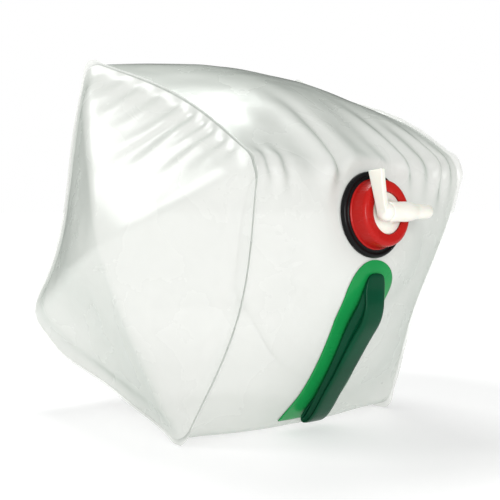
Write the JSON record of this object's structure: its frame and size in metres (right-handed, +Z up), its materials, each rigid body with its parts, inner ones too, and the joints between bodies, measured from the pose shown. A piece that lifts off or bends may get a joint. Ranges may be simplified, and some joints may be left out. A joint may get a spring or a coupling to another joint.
{
  "type": "hydration bladder",
  "caption": "Cube-shaped collapsible water bladder: milky film, welded end panels, neck fitting, ring cap with a lever tap, and an arched carrying handle.",
  "frame": {"origin": "on the ground under the middle of the filled bag, on the flat that it rests on", "axes": "+Z up against gravity; the spout side faces -Y; +X is across, along the closed tap's outlet"},
  "size_m": [0.326, 0.3663, 0.334],
  "materials": {
    "film": "translucent milky film, glossy",
    "black_plastic": "gloss",
    "seal_rubber": "matte",
    "red_plastic": "satin",
    "white_plastic": "satin",
    "pale_green_film": "translucent, glossy",
    "dark_green_plastic": "satin"
  },
  "bodies": {
    "bag": {"wrap_panel": "film", "left_end_panel": "film", "right_end_panel": "film", "neck_fitting": "black_plastic", "film_gasket": "seal_rubber", "backing_nut": "black_plastic", "handle_patch": "pale_green_film", "handle_grip": "dark_green_plastic", "handle_studs": "dark_green_plastic"},
    "washer": {"cap_gasket": "seal_rubber"},
    "ring": {"screw_ring": "red_plastic"},
    "tap": {"tap_body": "white_plastic"},
    "plug": {"tap_plug": "white_plastic", "plug_seal_outer": "seal_rubber", "plug_seal_inner": "seal_rubber"}
  },
  "joints": [
    {"name": "cap_lift", "type": "slide", "parent": "bag", "child": "washer", "axis": [0, -0.9954, 0.0958], "range_m": [0, 0.016]},
    {"name": "ring_turn", "type": "hinge", "parent": "washer", "child": "ring", "pos_m": [0, -0.16394, 0.19184], "axis": [0, -0.9954, 0.0958], "range_deg": [0, 1440]},
    {"name": "tap_swivel", "type": "hinge", "parent": "washer", "child": "tap", "pos_m": [0, -0.16394, 0.19184], "axis": [0, -0.9954, 0.0958], "range_deg": [-180, 0]},
    {"name": "lever_turn", "type": "hinge", "parent": "tap", "child": "plug", "pos_m": [0, -0.19211, 0.19455], "axis": [1, 0, 0], "range_deg": [0, 90]}
  ],
  "couplings": [
    {"joint": "cap_lift", "follows": "ring_turn", "m_per_rad": 0.00063662}
  ]
}
